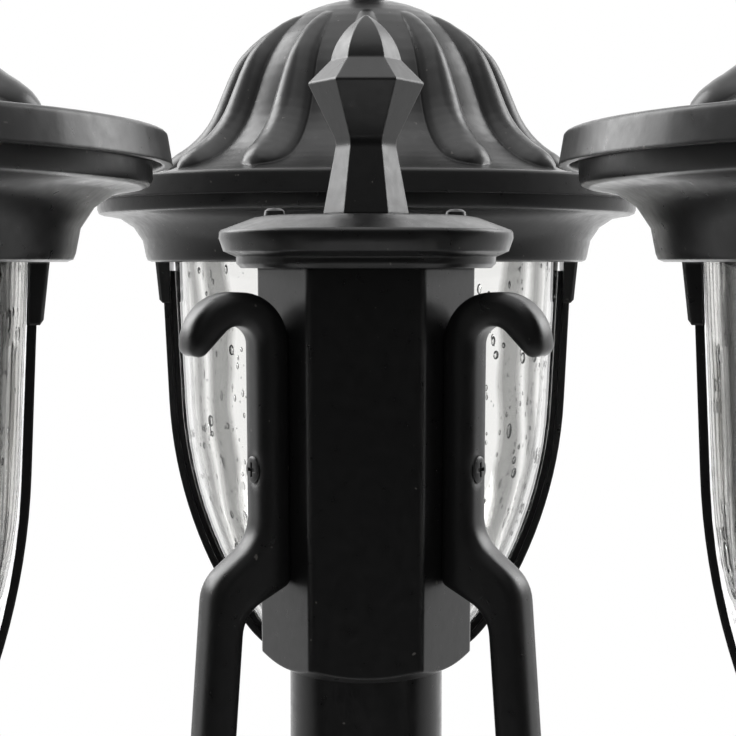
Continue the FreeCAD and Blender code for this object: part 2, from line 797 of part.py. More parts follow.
def lantern_body():
    cove_far = BODY_COVE + BODY_WALL
    cx, cz = COVE_CENTRE_RADIUS, COVE_CENTRE_Z
    lip_foot = cz + BODY_COVE
    outline = [
        (BODY_INNER, 0),
        (BODY_RADIUS, 0, LIP_EDGE),
        (BODY_RADIUS, lip_foot, BODY_COVE - 0.01),
        (LIP_RADIUS, lip_foot, LIP_EDGE),
        (LIP_RADIUS, LIP_TOP, 0.5),
        (LIP_RADIUS - BODY_WALL, LIP_TOP),
        (LIP_RADIUS - BODY_WALL, STRAP_Z),
        (cx - 6, STRAP_Z),
        (cx - cove_far * math.cos(deg(45)), cz + cove_far * math.sin(deg(45))),
        (cx - cove_far, cz + BODY_FLOOR - LIP_EDGE),
        (BODY_INNER, BODY_FLOOR),
    ]
    body = turned(outline)
    sockets = [spin(rib_socket(), 360 / RIB_COUNT * i) for i in range(RIB_COUNT)]
    pockets = [spin(rib(PLAY), 360 / RIB_COUNT * i) for i in range(RIB_COUNT)]
    return body.multiFuse(sockets).cut(pockets).removeSplitter()


def rib_socket():
    """A tapered block below the body that takes the top of a rib."""
    top = BODY_FLOOR / 2
    near = BODY_INNER + 1
    sections = []
    for z, far, cheek in (
        (top, SOCKET_RADIUS, SOCKET_TOP_CHEEK),
        (-SOCKET_LENGTH, SOCKET_RADIUS - SOCKET_TAPER, SOCKET_FOOT_CHEEK),
    ):
        w = RIB_WIDTH / 2 + cheek
        corners = ((near, -w), (far, -w), (far, w), (near, w), (near, -w))
        sections.append(Part.makePolygon([V(x, y, z) for x, y in corners]))
    block = Part.makeLoft(sections, True, True)
    far_edges = [e for e in block.Edges if e.BoundBox.XMin > near + 1 and e.BoundBox.ZMin < 0]
    return block.makeChamfer(SOCKET_EDGE, far_edges)


def gasket():
    inner = GLASS_TOP_RADIUS + PLAY
    return tube(inner + GASKET_WIDTH, GASKET_WIDTH, BODY_FLOOR, BODY_FLOOR + GASKET_HEIGHT)


def strap():
    half = LIP_RADIUS - BODY_WALL - PLAY
    bar = Part.makeBox(2 * half, STRAP_WIDTH, STRAP_THICKNESS, V(-half, -STRAP_WIDTH / 2, STRAP_Z))
    ring = rod(half, STRAP_THICKNESS, STRAP_Z)
    return bar.common(ring).cut(rod(ROD_RADIUS + THREAD, 10, STRAP_Z - 1))


def roof_rod():
    head = hexagon(ROD_HEAD, ROD_HEAD_HEIGHT, STRAP_Z - ROD_HEAD_HEIGHT)
    return head.fuse(rod(ROD_RADIUS, ROD_TOP_Z - STRAP_Z, STRAP_Z)).removeSplitter()


def dome_line():
    """The outside of the roof between the lobes, from the crown down to the rim."""
    return [
        (CROWN_RADIUS, CROWN_Z),
        (DOME_SHOULDER_RADIUS, DOME_SHOULDER_Z, DOME_SHOULDER_CURVE),
        (DOME_FOOT_RADIUS, DOME_FOOT_Z, DOME_FOOT_CURVE),
        (RIM_RADIUS - RIM_FLARE, RIM_TOP_Z),
    ]


def along(line, distance):
    """The point and outward normal at a distance along an open run of edges."""
    for e in line:
        if distance <= e.Length:
            at = e.getParameterByLength(distance)
            tangent = e.tangentAt(at)
            return e.valueAt(at), V(-tangent.z, 0, tangent.x)
        distance -= e.Length
    raise ValueError("beyond the end of the line")


def lobe():
    """One raised lobe of the roof: pointed at its top, with a round nose at its foot."""
    line = edges(dome_line(), closed=False)
    sections = []
    for distance, width, height in LOBE_SECTIONS:
        at, normal = along(line, distance)
        root = at - normal * LOBE_ROOT
        rise = normal * (height + LOBE_ROOT)
        points = []
        for i in range(LOBE_FLATS + 1):
            turn = math.pi * i / LOBE_FLATS
            points.append(root + V(0, width / 2, 0) * math.cos(turn) + rise * math.sin(turn))
        sections.append(Part.makePolygon([*points, points[0]]))
    return Part.makeLoft(sections, True, True)


def roof():
    rim = RIM_RADIUS
    under = RIM_TOP_Z - ROOF_WALL
    shoulder = DOME_SHOULDER_RADIUS
    outer = dome_line()
    outer[0] = (0, CROWN_Z)
    outline = [
        *outer[:3],
        (rim - RIM_FLARE, RIM_TOP_Z, 1.5),
        (rim, RIM_FOOT_Z, 0.8),
        (rim - RIM_WALL, RIM_FOOT_Z),
        (rim - RIM_WALL - RIM_FLARE / 2, ROOF_SEAT_Z),
        (LIP_RADIUS - 2 * BODY_WALL, ROOF_SEAT_Z),
        (DOME_FOOT_RADIUS + 8, under + 6),
        (DOME_FOOT_RADIUS - 15, DOME_FOOT_Z + 22),
        (shoulder + 6, DOME_SHOULDER_Z - 26),
        (shoulder - 12, DOME_SHOULDER_Z - 8),
        (CROWN_RADIUS + 6, CROWN_Z - ROOF_WALL - 2),
        (0, CROWN_Z - ROOF_WALL),
    ]
    body = turned(outline)
    lobes = [spin(lobe(), 360 / LOBE_COUNT * i) for i in range(LOBE_COUNT)]
    body = body.multiFuse(lobes)
    return body.cut(rod(ROOF_HOLE, 4 * ROOF_WALL, CROWN_Z - 3 * ROOF_WALL))


def knob():
    z = KNOB_Z
    ball_z = z + KNOB_NECK_Z + KNOB_BALL_RADIUS
    body = turned(
        [
            (0, z),
            (KNOB_COLLAR_RADIUS, z, 0.5),
            (KNOB_COLLAR_RADIUS, z + KNOB_COLLAR, 1.2),
            (KNOB_NECK_RADIUS, z + KNOB_COLLAR, 1),
            (KNOB_NECK_RADIUS, z + KNOB_NECK_Z, 1.5),
            (KNOB_BALL_RADIUS, z + KNOB_NECK_Z + 2, 4),
            (KNOB_BALL_RADIUS, ball_z + 3, 6),
            (2.4, z + KNOB_HEIGHT - 3, 1.5),
            (2.0, z + KNOB_HEIGHT, 1.2),
            (0, z + KNOB_HEIGHT),
        ]
    )
    return body.cut(rod(ROD_RADIUS + SLIP, KNOB_BORE_DEPTH, z))


def place(shape, azimuth):
    """Sets a lantern piece at the end of the arm that points along an azimuth."""
    centre = V(REACH * math.cos(deg(azimuth)), REACH * math.sin(deg(azimuth)), BODY_Z)
    return spin(shape, azimuth).translated(centre)


def main():
    os.makedirs("parts", exist_ok=True)
    export("base_casting", base_casting())
    export("base_screws", Part.makeCompound(base_screws()))
    export("lower_pole", tube(LOWER_POLE_RADIUS, POLE_WALL, POLE_SEAT_Z, COLLAR_Z))
    export("pole_collar", collar())
    export("collar_screws", Part.makeCompound(collar_screws()))
    upper_low = COLLAR_Z + COLLAR_WEB
    export("upper_pole", tube(UPPER_POLE_RADIUS, POLE_WALL, upper_low, HUB_TOP - POLE_TOP_DROP))
    export("hub_body", hub_body())
    export("hub_cap", hub_cap())
    export("cap_screws", Part.makeCompound(cap_screws()))
    export("hub_finial", finial())
    export("finial_stud", finial_stud())
    export("arm_screws", Part.makeCompound(arm_screws()))
    one_arm = arm()
    for name, azimuth in HEADS.items():
        export("arm_" + name, spin(one_arm, azimuth))
    pieces = {
        "cup": cup(),
        "cage": cage(),
        "glass_washer": glass_washer(),
        "glass": glass(),
        "stem": stem(),
        "stem_nut": stem_nut(),
        "lampholder": lampholder(),
        "bulb_cap": bulb_cap(),
        "bulb_globe": bulb_globe(),
        "body": lantern_body(),
        "gasket": gasket(),
        "roof_strap": strap(),
        "roof_rod": roof_rod(),
        "roof": roof(),
        "roof_knob": knob(),
    }
    for name, azimuth in HEADS.items():
        for piece, shape in pieces.items():
            export(piece + "_" + name, place(shape, azimuth))


main()
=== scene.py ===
"""Looks of the triple head lamp post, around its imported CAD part. Metres, +Z up, origin on the pole's
axis at ground level. The outlines at the top are millimetres: the roof's and the bowl's in a lantern's
own frame, whose z = 0 is the underside of the lantern's body, and the screws' from the CAD screw's top."""

import json
import math
import random

import bmesh
import bpy
from mathutils import Matrix, Vector

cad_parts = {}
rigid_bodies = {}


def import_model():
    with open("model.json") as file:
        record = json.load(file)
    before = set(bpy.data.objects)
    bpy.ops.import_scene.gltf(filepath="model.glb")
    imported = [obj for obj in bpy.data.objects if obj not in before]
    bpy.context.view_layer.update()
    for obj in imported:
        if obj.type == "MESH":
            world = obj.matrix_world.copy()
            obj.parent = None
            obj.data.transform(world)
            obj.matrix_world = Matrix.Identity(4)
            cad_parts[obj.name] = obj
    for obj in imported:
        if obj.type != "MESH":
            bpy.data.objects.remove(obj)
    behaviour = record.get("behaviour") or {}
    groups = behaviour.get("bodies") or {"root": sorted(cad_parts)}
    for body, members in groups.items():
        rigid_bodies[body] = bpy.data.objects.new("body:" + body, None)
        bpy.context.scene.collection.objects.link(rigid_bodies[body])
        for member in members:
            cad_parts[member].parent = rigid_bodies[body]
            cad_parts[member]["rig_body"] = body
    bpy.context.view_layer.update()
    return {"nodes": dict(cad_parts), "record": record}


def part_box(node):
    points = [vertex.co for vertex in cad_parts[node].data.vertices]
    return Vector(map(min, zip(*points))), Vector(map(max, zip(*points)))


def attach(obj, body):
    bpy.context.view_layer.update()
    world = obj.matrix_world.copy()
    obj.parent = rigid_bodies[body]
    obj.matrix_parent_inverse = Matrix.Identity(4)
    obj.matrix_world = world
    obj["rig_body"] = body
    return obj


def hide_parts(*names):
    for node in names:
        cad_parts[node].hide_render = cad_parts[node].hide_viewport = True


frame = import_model()

SLOTS = {each["node"]: each["material_slot"] for each in frame["record"]["subparts"]}
HEADS = ("left", "right", "back")
MM = 0.001
BODY_OVER_CUP = 188.0  # from a cup's top to the underside of its lantern's body

# CAD nodes that get a skin of their own mesh, whose round faces shade as one
SMOOTHED = ("base_casting", "lower_pole", "pole_collar", "upper_pole", "hub_cap")
SMOOTHED_PER_HEAD = ("arm", "cup", "cage", "body", "lampholder", "bulb_globe", "roof_knob")

# Meshes: the distance in metres at which points become one, and the bends in degrees that stay sharp
MERGE = 2e-6
CREASE = 35
CAD_CREASE = 32
NO_CREASE = 180
ARC_STEP = 6.0  # degrees from point to point of an arc

# Roof: the outside from its crown to its rim, the inside back up to its crown, as (radius, z, rounding)
ROOF_OUTSIDE = [(3.4, 117.2), (44.4, 111.8, 60), (73.4, 39.5, 46), (124.6, 35.6, 1.6), (126.1, 26.5, 1.2)]
ROOF_INSIDE = [
    (123.3, 26.5, 0.8),
    (122.4, 32.6, 3),
    (81.4, 37.6, 30),
    (57, 62, 20),
    (49, 86, 20),
    (32, 103, 10),
    (15, 111),
    (3.4, 113),
]
ROOF_ROW_GAP = 1.4
ROOF_INSIDE_STEP = 12  # degrees
LOBES = 12
LOBE_TOP = 31.0  # distance along the dome from its crown to a lobe's tip
LOBE_FOOT = 125.0
LOBE_HALF_WIDTH = 11.2
LOBE_LEAST_HALF_WIDTH = 1.0
LOBE_TIP_WIDTH = 0.16  # share of the full width at the tip
LOBE_FULL_WIDTH_AT = 0.8  # share of a lobe's length from which it has its full width
LOBE_FLARE = 0.6  # exponent of the width's growth
LOBE_HEIGHT = 6.2
LOBE_CLIMB = 3.2  # a lobe's length over the length in which it rises from its tip
LOBE_CLIMB_CURVE = 0.75  # exponent of the rise
LOBE_GROWTH = 0.2  # share of the height that a lobe gains over its length
LOBE_ROUNDING = 0.8  # 0.5 is an ellipse, 1 a parabola
LOBE_NOSE = 0.13  # share of a lobe's length that its round nose takes
LOBE_COLUMNS = 22
LOBE_MOST = 0.4  # share of the way from lobe to lobe that half a lobe takes at most
VALLEY_COLUMNS = 8
INSIDE_HALF_WIDTH = LOBE_HALF_WIDTH * 0.6  # over which a lobe's columns spread on the roof's inside

# Glass bowl: its outside from the rim down to the hole in its floor
GLASS_HOLE = 7.0
GLASS_OUTSIDE = [(86.8, 8, 0), (81.2, -110.5, 192), (39.5, -180, 44), (GLASS_HOLE, -180, 0)]
GLASS_SIDE = GLASS_OUTSIDE[:3]  # without the rounding at its foot
GLASS_WALL = 4.0
GLASS_COLUMNS = 160
GLASS_ROW_GAP = 6
GLASS_STEP = 3  # degrees
GLASS_IOR = 1.5
# Painted reflection: grey bands in the glass's colour, set round the bowl from the side that faces the
# camera, where the glass would show dark surroundings
PAINTED_REFLECTION_BANDS = ((0.12, 0.148), (0.16, 0.176))  # from and to, in turns from the side that faces the camera
PAINTED_REFLECTION_EDGE = 0.0025  # half of the width in which a streak fades, in turns
PAINTED_REFLECTION_WOBBLE = 0.008  # in turns
ROUND_MAP = "round"

# Bubbles in the bowl's wall
SEEDS = 1250  # in each bowl
SEED_ROW_GAP = 2
SEED_ROWS_OFF = (3, 2)  # rows without bubbles, at the rim and at the floor
SEED_LEAST = 0.22  # half of a bubble's width
SEED_MOST = 2.4
SEED_RATE = 2.7  # of the exponential spread of the half widths, per millimetre
SEED_STRETCH = (1.2, 2.3)  # a bubble's length over its width
SEED_DEEPEST = 1.0  # half of a bubble's depth in the wall
SEED_COVER = 0.25  # glass left between a bubble and the wall's faces

# Screws: outlines from the middle of the recess's floor, over the head and down to the tip
RECESS_HALF_WIDTH = 0.62
RECESS_REACH = 2.5
RECESS_ROWS = 3  # points of an outline that take the recess's shape
SCREW_COLUMNS = 96
ARM_SCREW = [
    (0, -1.3),
    (0.45, -1.3),
    (1, 0.7),
    (3.7, 0.7),
    (4.35, 0.25),
    (4.35, -0.6),
    (2.4, -2.8),
    (2.4, -20),
    (0, -20),
]
CAP_SCREW = [
    (0, -1.6),
    (0.4, -1.6),
    (0.75, -0.05),
    (2.4, -0.3),
    (3.3, -1.0),
    (3.6, -2.6),
    (2, -2.6),
    (2, -32.6),
    (0, -32.6),
]
CAP_SCREWS = 2
CAP_SCREW_OUT = 30.3  # from the pole's axis
CAP_SCREW_TURN = 10.0  # degrees

# How far the paint's shading rounds the edges: of castings in general, of the arms and of the screws
SOFT_EDGE = 1.1
ARM_EDGE = 6.0
SCREW_EDGE = 0.2

WHITE = (1, 1, 1, 1)

# The world's strength: for matt surfaces, and then by direction, as axis, its range, strengths there
MATT_LEVEL = 0.5
GLOSS_LEVEL = ("Y", (-0.6, 0.7), (0.02, 0.85))
GLOSS_EXTRA = (("Y", (0.7, 0.95), (0, 0.75)), ("Z", (0.15, 0.8), (0, 0.45)))
GLASS_LEVEL = ("Y", (-0.1, 0.45), (0.3, 1.0))

# Lamps: name, place, aim, size and power in watts
LAMPS = (
    ("key", (-1.9, 1.5, 3.4), (0, 0, 2.1), (1.4, 2.0), 43),
    ("fill", (2.0, 1.4, 3.2), (0, 0, 2.1), (1.2, 1.6), 26),
    ("top", (0, -0.5, 4.2), (0, 0, 1.6), (2.4, 2.4), 17),
)

FLOOR_RADIUS = 3.5
FLOOR_FADE = (1.2, 3.4)  # distances from the middle between which the floor turns white
FLOOR_DROP = 0.0005  # below the post's foot

PHOTO_SIZE = 736
FOCAL_PIXELS = 1662.3
SENSOR_WIDTH = 36
CAMERA_AT = (0.00064, -0.55, 2.0681)
CAMERA_DIP = 0.0639  # radians below the horizon
CAMERA_CLIP = (0.02, 60)


# Lines and meshes


def unit(a, b):
    """The direction from one point to another, both flat."""
    length = math.dist(a[:2], b[:2])
    return ((b[0] - a[0]) / length, (b[1] - a[1]) / length)


def turn_between(start, end):
    """The shorter turn from one angle to another, in radians."""
    return (end - start + math.pi) % (2 * math.pi) - math.pi


def rounded(corners, step=ARC_STEP):
    """Points along straight runs and tangent arcs through (x, z, radius) corners; step is in degrees."""
    points = [corners[0][:2]]
    for before, corner, after in zip(corners, corners[1:], corners[2:]):
        radius = corner[2] if len(corner) > 2 else 0
        if radius <= 0:
            points.append(corner[:2])
            continue
        a, b = unit(corner, before), unit(corner, after)
        half = math.acos(max(-1, min(1, a[0] * b[0] + a[1] * b[1]))) / 2
        centre_way = unit((0, 0), (a[0] + b[0], a[1] + b[1]))
        reach = radius / math.sin(half)
        centre = [corner[i] + centre_way[i] * reach for i in (0, 1)]
        start = [corner[i] + a[i] * radius / math.tan(half) - centre[i] for i in (0, 1)]
        end = [corner[i] + b[i] * radius / math.tan(half) - centre[i] for i in (0, 1)]
        first = math.atan2(start[1], start[0])
        turn = turn_between(first, math.atan2(end[1], end[0]))
        count = max(2, math.ceil(abs(math.degrees(turn)) / step))
        for i in range(count + 1):
            angle = first + turn * i / count
            points.append((centre[0] + radius * math.cos(angle), centre[1] + radius * math.sin(angle)))
    points.append(corners[-1][:2])
    return points


def spaced(points, gap):
    """The same line with extra points, so that none are further apart than gap."""
    out = [points[0]]
    for p, q in zip(points, points[1:]):
        count = max(1, math.ceil(math.dist(p, q) / gap))
        for i in range(1, count + 1):
            out.append((p[0] + (q[0] - p[0]) * i / count, p[1] + (q[1] - p[1]) * i / count))
    return out


def moved_out(points, distance):
    """The line moved to its left by a distance."""
    out = []
    for i, p in enumerate(points):
        a, b = points[max(i - 1, 0)], points[min(i + 1, len(points) - 1)]
        way = unit(a, b)
        out.append((p[0] - way[1] * distance, p[1] + way[0] * distance))
    return out


def sharpen(mesh, crease):
    """Joins points that meet, turns all faces outwards and marks edges that bend past crease as sharp."""
    bm = bmesh.new()
    bm.from_mesh(mesh)
    bmesh.ops.remove_doubles(bm, verts=bm.verts, dist=MERGE)
    bmesh.ops.recalc_face_normals(bm, faces=bm.faces)
    for each in bm.faces:
        each.smooth = True
    for each in bm.edges:
        each.smooth = len(each.link_faces) == 2 and each.calc_face_angle(0) < math.radians(crease)
    bm.to_mesh(mesh)
    bm.free()


def place_object(name, data):
    """A new object in the scene."""
    made = bpy.data.objects.new(name, data)
    bpy.context.scene.collection.objects.link(made)
    return made


def new_piece(name, verts, faces, crease=CREASE):
    """A mesh object that shades smoothly except across creases."""
    mesh = bpy.data.meshes.new(name)
    mesh.from_pydata(verts, [], faces)
    mesh.validate()
    sharpen(mesh, crease)
    return place_object(name, mesh)


def lathe(name, outline, columns, shape=None):
    """A closed outline turned about Z. shape(i, c) gives point i of column c as (angle, radius, z)."""
    rows = len(outline)
    verts, faces = [], []
    for c in range(columns):
        for i, (r, z) in enumerate(outline):
            angle = 2 * math.pi * c / columns
            if shape:
                angle, r, z = shape(i, c)
            verts.append((r * math.cos(angle) * MM, r * math.sin(angle) * MM, z * MM))
    for c in range(columns):
        here, there = c * rows, (c + 1) % columns * rows
        for i in range(rows):
            j = (i + 1) % rows
            faces.append((here + i, there + i, there + j, here + j))
    return new_piece(name, verts, faces)


def stand_for(piece, node):
    """Sets a new piece in place of one CAD node, on that node's body."""
    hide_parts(node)
    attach(piece, frame["nodes"][node]["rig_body"])


def lantern_place(head):
    """Where a lantern's own frame stands: on its axis, at the underside of its body."""
    low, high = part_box("cup_" + head)
    return Vector(((low.x + high.x) / 2, (low.y + high.y) / 2, high.z + BODY_OVER_CUP * MM))


# Materials


def grey(level):
    return (level, level, level, 1)


def add_node(tree, kind, **values):
    """A new node, with values for its inputs or its settings."""
    made = tree.nodes.new(kind)
    for key, value in values.items():
        if key in made.inputs:
            made.inputs[key].default_value = value
        else:
            setattr(made, key, value)
    return made


def feed(tree, source, socket):
    """Links a node's output to a socket, or sets the socket to a plain value."""
    if isinstance(source, bpy.types.NodeSocket):
        tree.links.new(source, socket)
    else:
        socket.default_value = source


def material(name, **values):
    """A new material, its node tree and its shader, with values for the shader's inputs."""
    made = bpy.data.materials.new(name)
    made.use_nodes = True
    tree = made.node_tree
    shader = tree.nodes["Principled BSDF"]
    for key, value in values.items():
        shader.inputs[key.replace("_", " ")].default_value = value
    return made, tree, shader


def noise(tree, scale, detail, roughness=0.55, stretch=None):
    """Noise over the object's own space, with features of about 1/scale metres."""
    place = add_node(tree, "ShaderNodeTexCoord").outputs["Object"]
    if stretch:
        scaling = add_node(tree, "ShaderNodeMapping", Scale=stretch)
        tree.links.new(place, scaling.inputs["Vector"])
        place = scaling.outputs["Vector"]
    made = add_node(tree, "ShaderNodeTexNoise", Scale=scale, Detail=detail, Roughness=roughness)
    tree.links.new(place, made.inputs["Vector"])
    return made.outputs["Fac"]


def ramp(tree, source, span, values):
    """Goes from one value to the other while the source crosses the span, and stays level outside it."""
    made = add_node(tree, "ShaderNodeMapRange")
    for key, value in zip(("From Min", "From Max", "To Min", "To Max"), (*span, *values)):
        made.inputs[key].default_value = value
    tree.links.new(source, made.inputs["Value"])
    return made.outputs["Result"]


def bump(tree, height, strength, distance, normal=None):
    """A surface raised by the height, over another surface's bumps if given."""
    made = add_node(tree, "ShaderNodeBump", Strength=strength, Distance=distance)
    tree.links.new(height, made.inputs["Height"])
    if normal:
        tree.links.new(normal, made.inputs["Normal"])
    return made.outputs["Normal"]


def mixed(tree, factor, first, second):
    """A colour between two others, each a plain colour or a node's output."""
    made = add_node(tree, "ShaderNodeMix", data_type="RGBA")
    for name, source in (("A", first), ("B", second)):
        feed(tree, source, next(s for s in made.inputs if s.name == name and s.type == "RGBA"))
    tree.links.new(factor, made.inputs["Factor"])
    return next(s for s in made.outputs if s.type == "RGBA")


def maths(tree, kind, first, second):
    """The result of one sum on two numbers, each a plain number or a node's output."""
    made = add_node(tree, "ShaderNodeMath", operation=kind)
    for source, socket in zip((first, second), made.inputs):
        feed(tree, source, socket)
    return made.outputs[0]


def blended(tree, factor, first, second):
    """A shader that goes from the first to the second as the factor goes from 0 to 1."""
    made = add_node(tree, "ShaderNodeMixShader")
    for source, socket in zip((factor, first, second), made.inputs):
        tree.links.new(source, socket)
    return made.outputs[0]


def black_paint(name, rounding):
    """Satin powder coat on a casting: fine orange peel, broad unevenness, rare specks and soft edges."""
    made, tree, shader = material(name)
    broad = noise(tree, scale=14, detail=3)
    fine = noise(tree, scale=900, detail=2)
    peel = noise(tree, scale=260, detail=3)
    speck = noise(tree, scale=420, detail=1, roughness=0.4)
    colour = mixed(tree, broad, (0.0046, 0.0045, 0.0046, 1), (0.0076, 0.0075, 0.0078, 1))
    dust = ramp(tree, speck, (0.77, 0.8), (0, 0.5))
    colour = mixed(tree, dust, colour, (0.16, 0.15, 0.14, 1))
    tree.links.new(colour, shader.inputs["Base Color"])
    tree.links.new(ramp(tree, peel, (0.3, 0.7), (0.27, 0.36)), shader.inputs["Roughness"])
    soft = add_node(tree, "ShaderNodeBevel", Radius=rounding * MM, samples=6)
    surface = bump(tree, peel, strength=0.18, distance=0.2 * MM, normal=soft.outputs["Normal"])
    surface = bump(tree, fine, strength=0.15, distance=0.07 * MM, normal=surface)
    tree.links.new(surface, shader.inputs["Normal"])
    return made


def seeded_glass():
    """Clear hand-made glass with a slow waviness, and painted reflections: grey bands along the bowl. Its
    bubbles are geometry.
    """
    made, tree, shader = material("seeded_glass", Transmission_Weight=1, IOR=GLASS_IOR)
    wave = noise(tree, scale=26, detail=1)
    way = add_node(tree, "ShaderNodeUVMap", uv_map=ROUND_MAP)
    parts = add_node(tree, "ShaderNodeSeparateXYZ")
    tree.links.new(way.outputs["UV"], parts.inputs["Vector"])
    unsteady = noise(tree, scale=17, detail=1.5)
    wobble = ramp(tree, unsteady, (0.3, 0.7), (-PAINTED_REFLECTION_WOBBLE, PAINTED_REFLECTION_WOBBLE))
    turn = maths(tree, "ADD", maths(tree, "PINGPONG", parts.outputs["X"], 0.5), wobble)
    # Painted reflection: the glass's colour turns grey inside each band, with soft edges and a wobble
    painted_band = 0.0
    for low, high in PAINTED_REFLECTION_BANDS:
        rise = ramp(tree, turn, (low - PAINTED_REFLECTION_EDGE, low + PAINTED_REFLECTION_EDGE), (0, 1))
        fall = ramp(tree, turn, (high - PAINTED_REFLECTION_EDGE, high + PAINTED_REFLECTION_EDGE), (1, 0))
        painted_band = maths(tree, "ADD", maths(tree, "MULTIPLY", rise, fall), painted_band)
    tint = mixed(tree, painted_band, (0.988, 0.986, 0.976, 1), (0.36, 0.36, 0.352, 1))
    tree.links.new(tint, shader.inputs["Base Color"])
    haze = noise(tree, scale=120, detail=2)
    tree.links.new(ramp(tree, haze, (0.4, 0.8), (0.0, 0.012)), shader.inputs["Roughness"])
    tree.links.new(bump(tree, wave, strength=0.12, distance=1.2 * MM), shader.inputs["Normal"])
    return made


def bubble_air():
    """The inside of a bubble: light passes from glass to air."""
    made, tree, shader = material("bubble_air", Transmission_Weight=1, IOR=1 / GLASS_IOR, Roughness=0.0)
    tint = mixed(tree, noise(tree, scale=500, detail=1), (0.96, 0.97, 0.97, 1), WHITE)
    tree.links.new(tint, shader.inputs["Base Color"])
    return made


def bulb_glass():
    """The bulb's frosted white glass, a little cloudy."""
    made, tree, shader = material(
        "bulb_glass",
        Transmission_Weight=0.25,
        Subsurface_Weight=0.2,
        Subsurface_Radius=(0.01, 0.01, 0.01),
    )
    cloud = noise(tree, scale=60, detail=3)
    tint = mixed(tree, cloud, (0.86, 0.85, 0.81, 1), (0.93, 0.92, 0.89, 1))
    tree.links.new(tint, shader.inputs["Base Color"])
    tree.links.new(ramp(tree, cloud, (0.3, 0.7), (0.22, 0.32)), shader.inputs["Roughness"])
    return made


def grained(name, dark, light, roughness, grain, relief):
    """A plain material whose colour, roughness and relief all follow one grain."""
    made, tree, shader = material(name)
    pattern = noise(tree, **grain)
    tree.links.new(mixed(tree, pattern, dark, light), shader.inputs["Base Color"])
    tree.links.new(ramp(tree, pattern, (0.3, 0.7), roughness), shader.inputs["Roughness"])
    tree.links.new(bump(tree, pattern, **relief), shader.inputs["Normal"])
    return made, shader


def metal(name, dark, light, roughness, stretch):
    """Plain metal with fine machining marks."""
    grain = {"scale": 300, "detail": 3, "roughness": 0.5, "stretch": stretch}
    made, shader = grained(name, dark, light, roughness, grain, {"strength": 0.2, "distance": 0.05 * MM})
    shader.inputs["Metallic"].default_value = 1
    return made


def dull(name, dark, light, roughness, scale):
    """Rubber or moulded plastic: matte, with a faint grain."""
    grain = {"scale": scale, "detail": 3}
    return grained(name, dark, light, roughness, grain, {"strength": 0.3, "distance": 0.08 * MM})[0]


# Pieces


def smoothed(node):
    """A copy of a CAD node whose faces share their points, so that its round faces shade as one."""
    source = frame["nodes"][node].data
    verts = [tuple(v.co) for v in source.vertices]
    faces = [tuple(p.vertices) for p in source.polygons]
    piece = new_piece(node + "_skin", verts, faces, CAD_CREASE)
    stand_for(piece, node)
    return piece


def lobe_section(distance):
    """Half the width and the height of a lobe's cross-section, at a distance from the crown."""
    along = (distance - LOBE_TOP) / (LOBE_FOOT - LOBE_TOP)
    if not 0 < along < 1:
        return LOBE_LEAST_HALF_WIDTH, 0.0
    nose = min(1, (1 - along) / LOBE_NOSE)
    nose = math.sqrt(1 - (1 - nose) ** 2)
    spread = LOBE_TIP_WIDTH + (1 - LOBE_TIP_WIDTH) * (along / LOBE_FULL_WIDTH_AT) ** LOBE_FLARE
    width = LOBE_HALF_WIDTH * min(1, spread) * nose
    climb = min(1, along * LOBE_CLIMB) ** LOBE_CLIMB_CURVE
    height = LOBE_HEIGHT * climb * (1 - LOBE_GROWTH + LOBE_GROWTH * along) * nose
    return max(LOBE_LEAST_HALF_WIDTH, width), height


def roof_shell():
    """The roof with its raised lobes, in a lantern's own frame. Its columns follow the lobes' sides."""
    outside = spaced(rounded(ROOF_OUTSIDE), ROOF_ROW_GAP)
    outline = outside + rounded(ROOF_INSIDE, ROOF_INSIDE_STEP)
    run = [0.0]
    for p, q in zip(outside, outside[1:]):
        run.append(run[-1] + math.dist(p, q))
    period = 2 * math.pi / LOBES
    columns = LOBE_COLUMNS + VALLEY_COLUMNS

    def shape(i, c):
        r, z = outline[i]
        lobe, place = divmod(c, columns)
        width, height = lobe_section(run[i]) if i < len(run) else (INSIDE_HALF_WIDTH, 0.0)
        half = min(width / r, period * LOBE_MOST)
        if place > LOBE_COLUMNS:
            share = (place - LOBE_COLUMNS) / VALLEY_COLUMNS
            return lobe * period + half + (period - 2 * half) * share, r, z
        across = math.sin(math.pi * (place / LOBE_COLUMNS - 0.5))
        if height > 0:
            way = unit(outside[i - 1], outside[i + 1])
            rise = height * (1 - across * across) ** LOBE_ROUNDING
            r, z = r - way[1] * rise, z + way[0] * rise
        return lobe * period + across * half, r, z

    return lathe("roof", outline, LOBES * columns, shape)


def map_round(mesh):
    """Gives a turned mesh a map: how far round its axis in turns, and its height in metres."""
    layer = mesh.uv_layers.new(name=ROUND_MAP)
    for face in mesh.polygons:
        middle = math.atan2(face.center.y, face.center.x)
        for loop in face.loop_indices:
            point = mesh.vertices[mesh.loops[loop].vertex_index].co
            turn = turn_between(middle, math.atan2(point.y, point.x))
            layer.data[loop].uv = ((middle + turn) / (2 * math.pi), point.z)


def glass_bowl():
    """The open bowl with the hole in its floor, in a lantern's own frame, mapped round its axis."""
    outside = spaced(rounded(GLASS_OUTSIDE, GLASS_STEP), GLASS_ROW_GAP)
    inside = [(max(r, GLASS_HOLE), z) for r, z in moved_out(outside, -GLASS_WALL)]
    inside[-1] = (GLASS_HOLE, inside[-1][1])
    inside[0] = (inside[0][0], outside[0][1])
    glass = lathe("glass", outside + list(reversed(inside)), GLASS_COLUMNS)
    map_round(glass.data)
    return glass


def unit_ball():
    """The points and the faces of a ball with a radius of 1."""
    ball = bmesh.new()
    bmesh.ops.create_icosphere(ball, subdivisions=2, radius=1)
    verts = [v.co.copy() for v in ball.verts]
    faces = [[v.index for v in f.verts] for f in ball.faces]
    ball.free()
    return verts, faces


